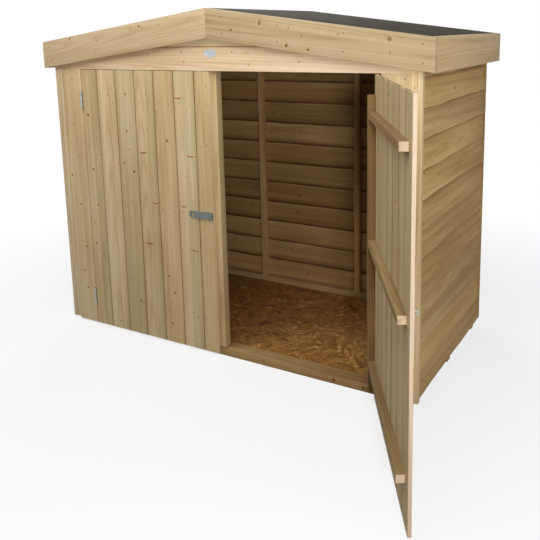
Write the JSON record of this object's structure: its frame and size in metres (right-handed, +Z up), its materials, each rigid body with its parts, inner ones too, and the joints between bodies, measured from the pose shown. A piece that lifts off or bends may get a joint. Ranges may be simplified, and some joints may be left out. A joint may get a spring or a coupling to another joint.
{
  "type": "wooden garden shed",
  "caption": "Low apex wooden garden shed with overlap-clad walls, a felted roof and ledged double doors on butt hinges in the gable front, closed by a hasp and staple.",
  "frame": {"origin": "on the ground at the middle of the walls, under the middle floor bearer", "axes": "+X to the right along the gable front, +Y from the doors to the back wall, +Z up"},
  "size_m": [2.0963, 1.5726, 1.525],
  "materials": {
    "front_boards": "matt planed pressure-treated softwood with knots",
    "overlap_boards": "matt sawn pressure-treated softwood",
    "roof_boards": "matt planed pressure-treated softwood",
    "frame_timber": "matt sawn softwood",
    "ledge_timber": "matt planed softwood with pale cut ends",
    "floor_board": "matt strand board",
    "roof_felt": "rough mineral felt",
    "zinc": "satin galvanised"
  },
  "bodies": {
    "shed": {"floor_bearers": "frame_timber", "floor_deck": "floor_board", "door_sill": "frame_timber", "front_left_panel": "front_boards", "front_right_panel": "front_boards", "front_posts": "frame_timber", "front_header": "frame_timber", "front_gable": "front_boards", "front_trims": "front_boards", "left_cladding": "overlap_boards", "right_cladding": "overlap_boards", "left_posts": "frame_timber", "right_posts": "frame_timber", "left_rails": "frame_timber", "right_rails": "frame_timber", "back_cladding": "overlap_boards", "back_battens": "frame_timber", "back_rails": "frame_timber", "back_trims": "overlap_boards", "ridge_batten": "frame_timber", "left_roof_deck": "floor_board", "right_roof_deck": "floor_board", "left_roof_felt": "roof_felt", "right_roof_felt": "roof_felt", "front_left_bargeboard": "roof_boards", "front_right_bargeboard": "roof_boards", "back_left_bargeboard": "roof_boards", "back_right_bargeboard": "roof_boards", "left_eaves_board": "roof_boards", "right_eaves_board": "roof_boards", "left_frame_hinges": "zinc", "right_frame_hinges": "zinc"},
    "left_door": {"left_door_boards": "front_boards", "left_door_ledges": "ledge_timber", "left_door_batten": "ledge_timber", "meeting_strip": "ledge_timber", "left_door_hinges": "zinc", "hasp_plate": "zinc"},
    "hasp": {"hasp_strap": "zinc"},
    "right_door": {"right_door_boards": "front_boards", "right_door_ledges": "ledge_timber", "right_door_batten": "ledge_timber", "right_door_hinges": "zinc", "hasp_staple": "zinc"}
  },
  "joints": [
    {"name": "left_door_hinge", "type": "hinge", "parent": "shed", "child": "left_door", "pos_m": [-0.7545, -0.441, 0.6385], "axis": [0, 0, -1], "range_deg": [0, 170]},
    {"name": "right_door_hinge", "type": "hinge", "parent": "shed", "child": "right_door", "pos_m": [0.7545, -0.441, 0.6385], "axis": [0, 0, 1], "range_deg": [-120, 50]},
    {"name": "hasp_hinge", "type": "hinge", "parent": "left_door", "child": "hasp", "pos_m": [-0.02, -0.4395, 0.6445], "axis": [0, 0, 1], "range_deg": [0, 180]}
  ]
}
